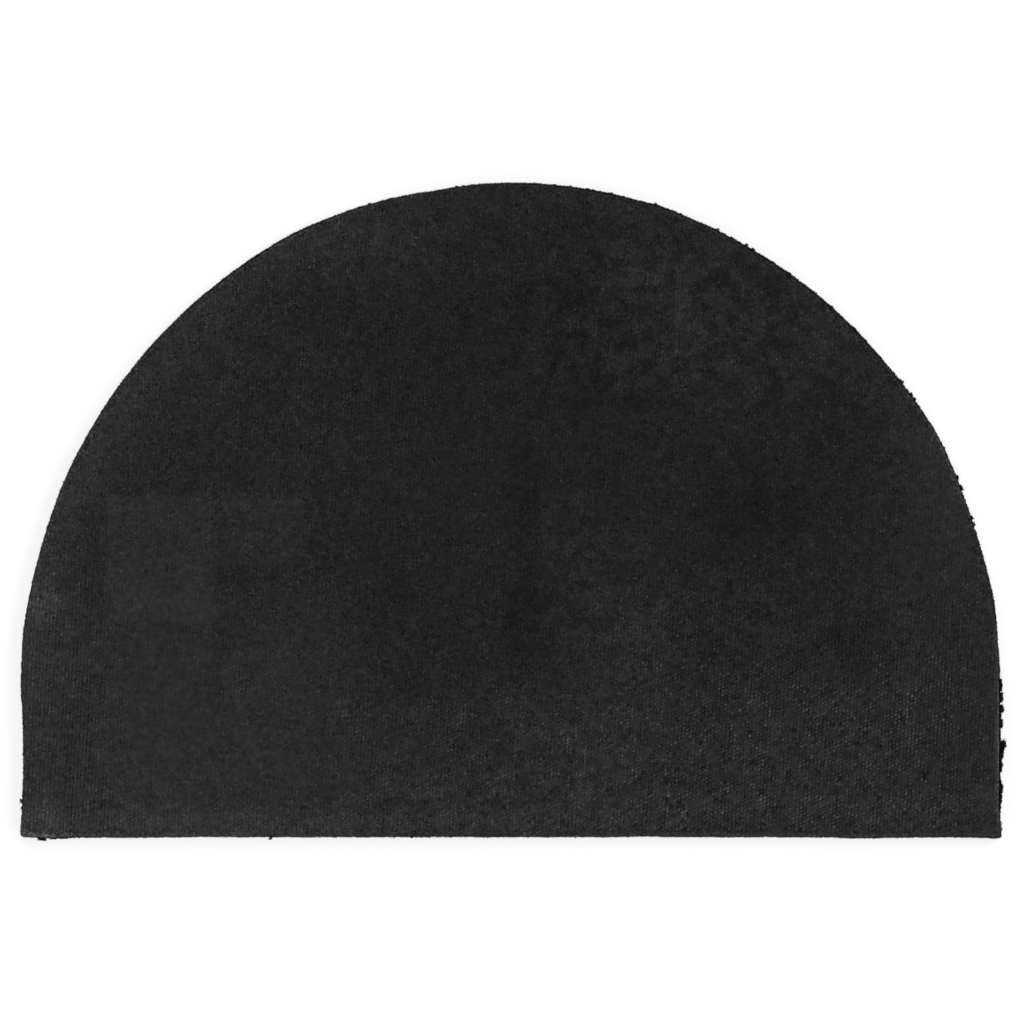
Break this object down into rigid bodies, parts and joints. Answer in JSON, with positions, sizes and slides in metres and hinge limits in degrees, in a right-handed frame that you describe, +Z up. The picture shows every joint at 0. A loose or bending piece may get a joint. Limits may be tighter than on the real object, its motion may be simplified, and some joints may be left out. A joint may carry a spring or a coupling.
{
  "type": "half round coir doormat",
  "caption": "Flat half round doormat of coir pile on a black rubber backing, lying pile down with the cloth-imprinted backing up.",
  "frame": {"origin": "on the floor, under the middle of the mat's box", "axes": "+Z up out of the backing, +Y from the straight edge to the crown of the arch, +X along the straight edge"},
  "size_m": [0.7542, 0.5036, 0.015],
  "materials": {
    "backing_rubber": "matt black, with a fine moulded cloth imprint",
    "coir_pile": "dry black fibre"
  },
  "bodies": {
    "root": {"backing": "backing_rubber", "pile": "coir_pile"}
  },
  "joints": []
}
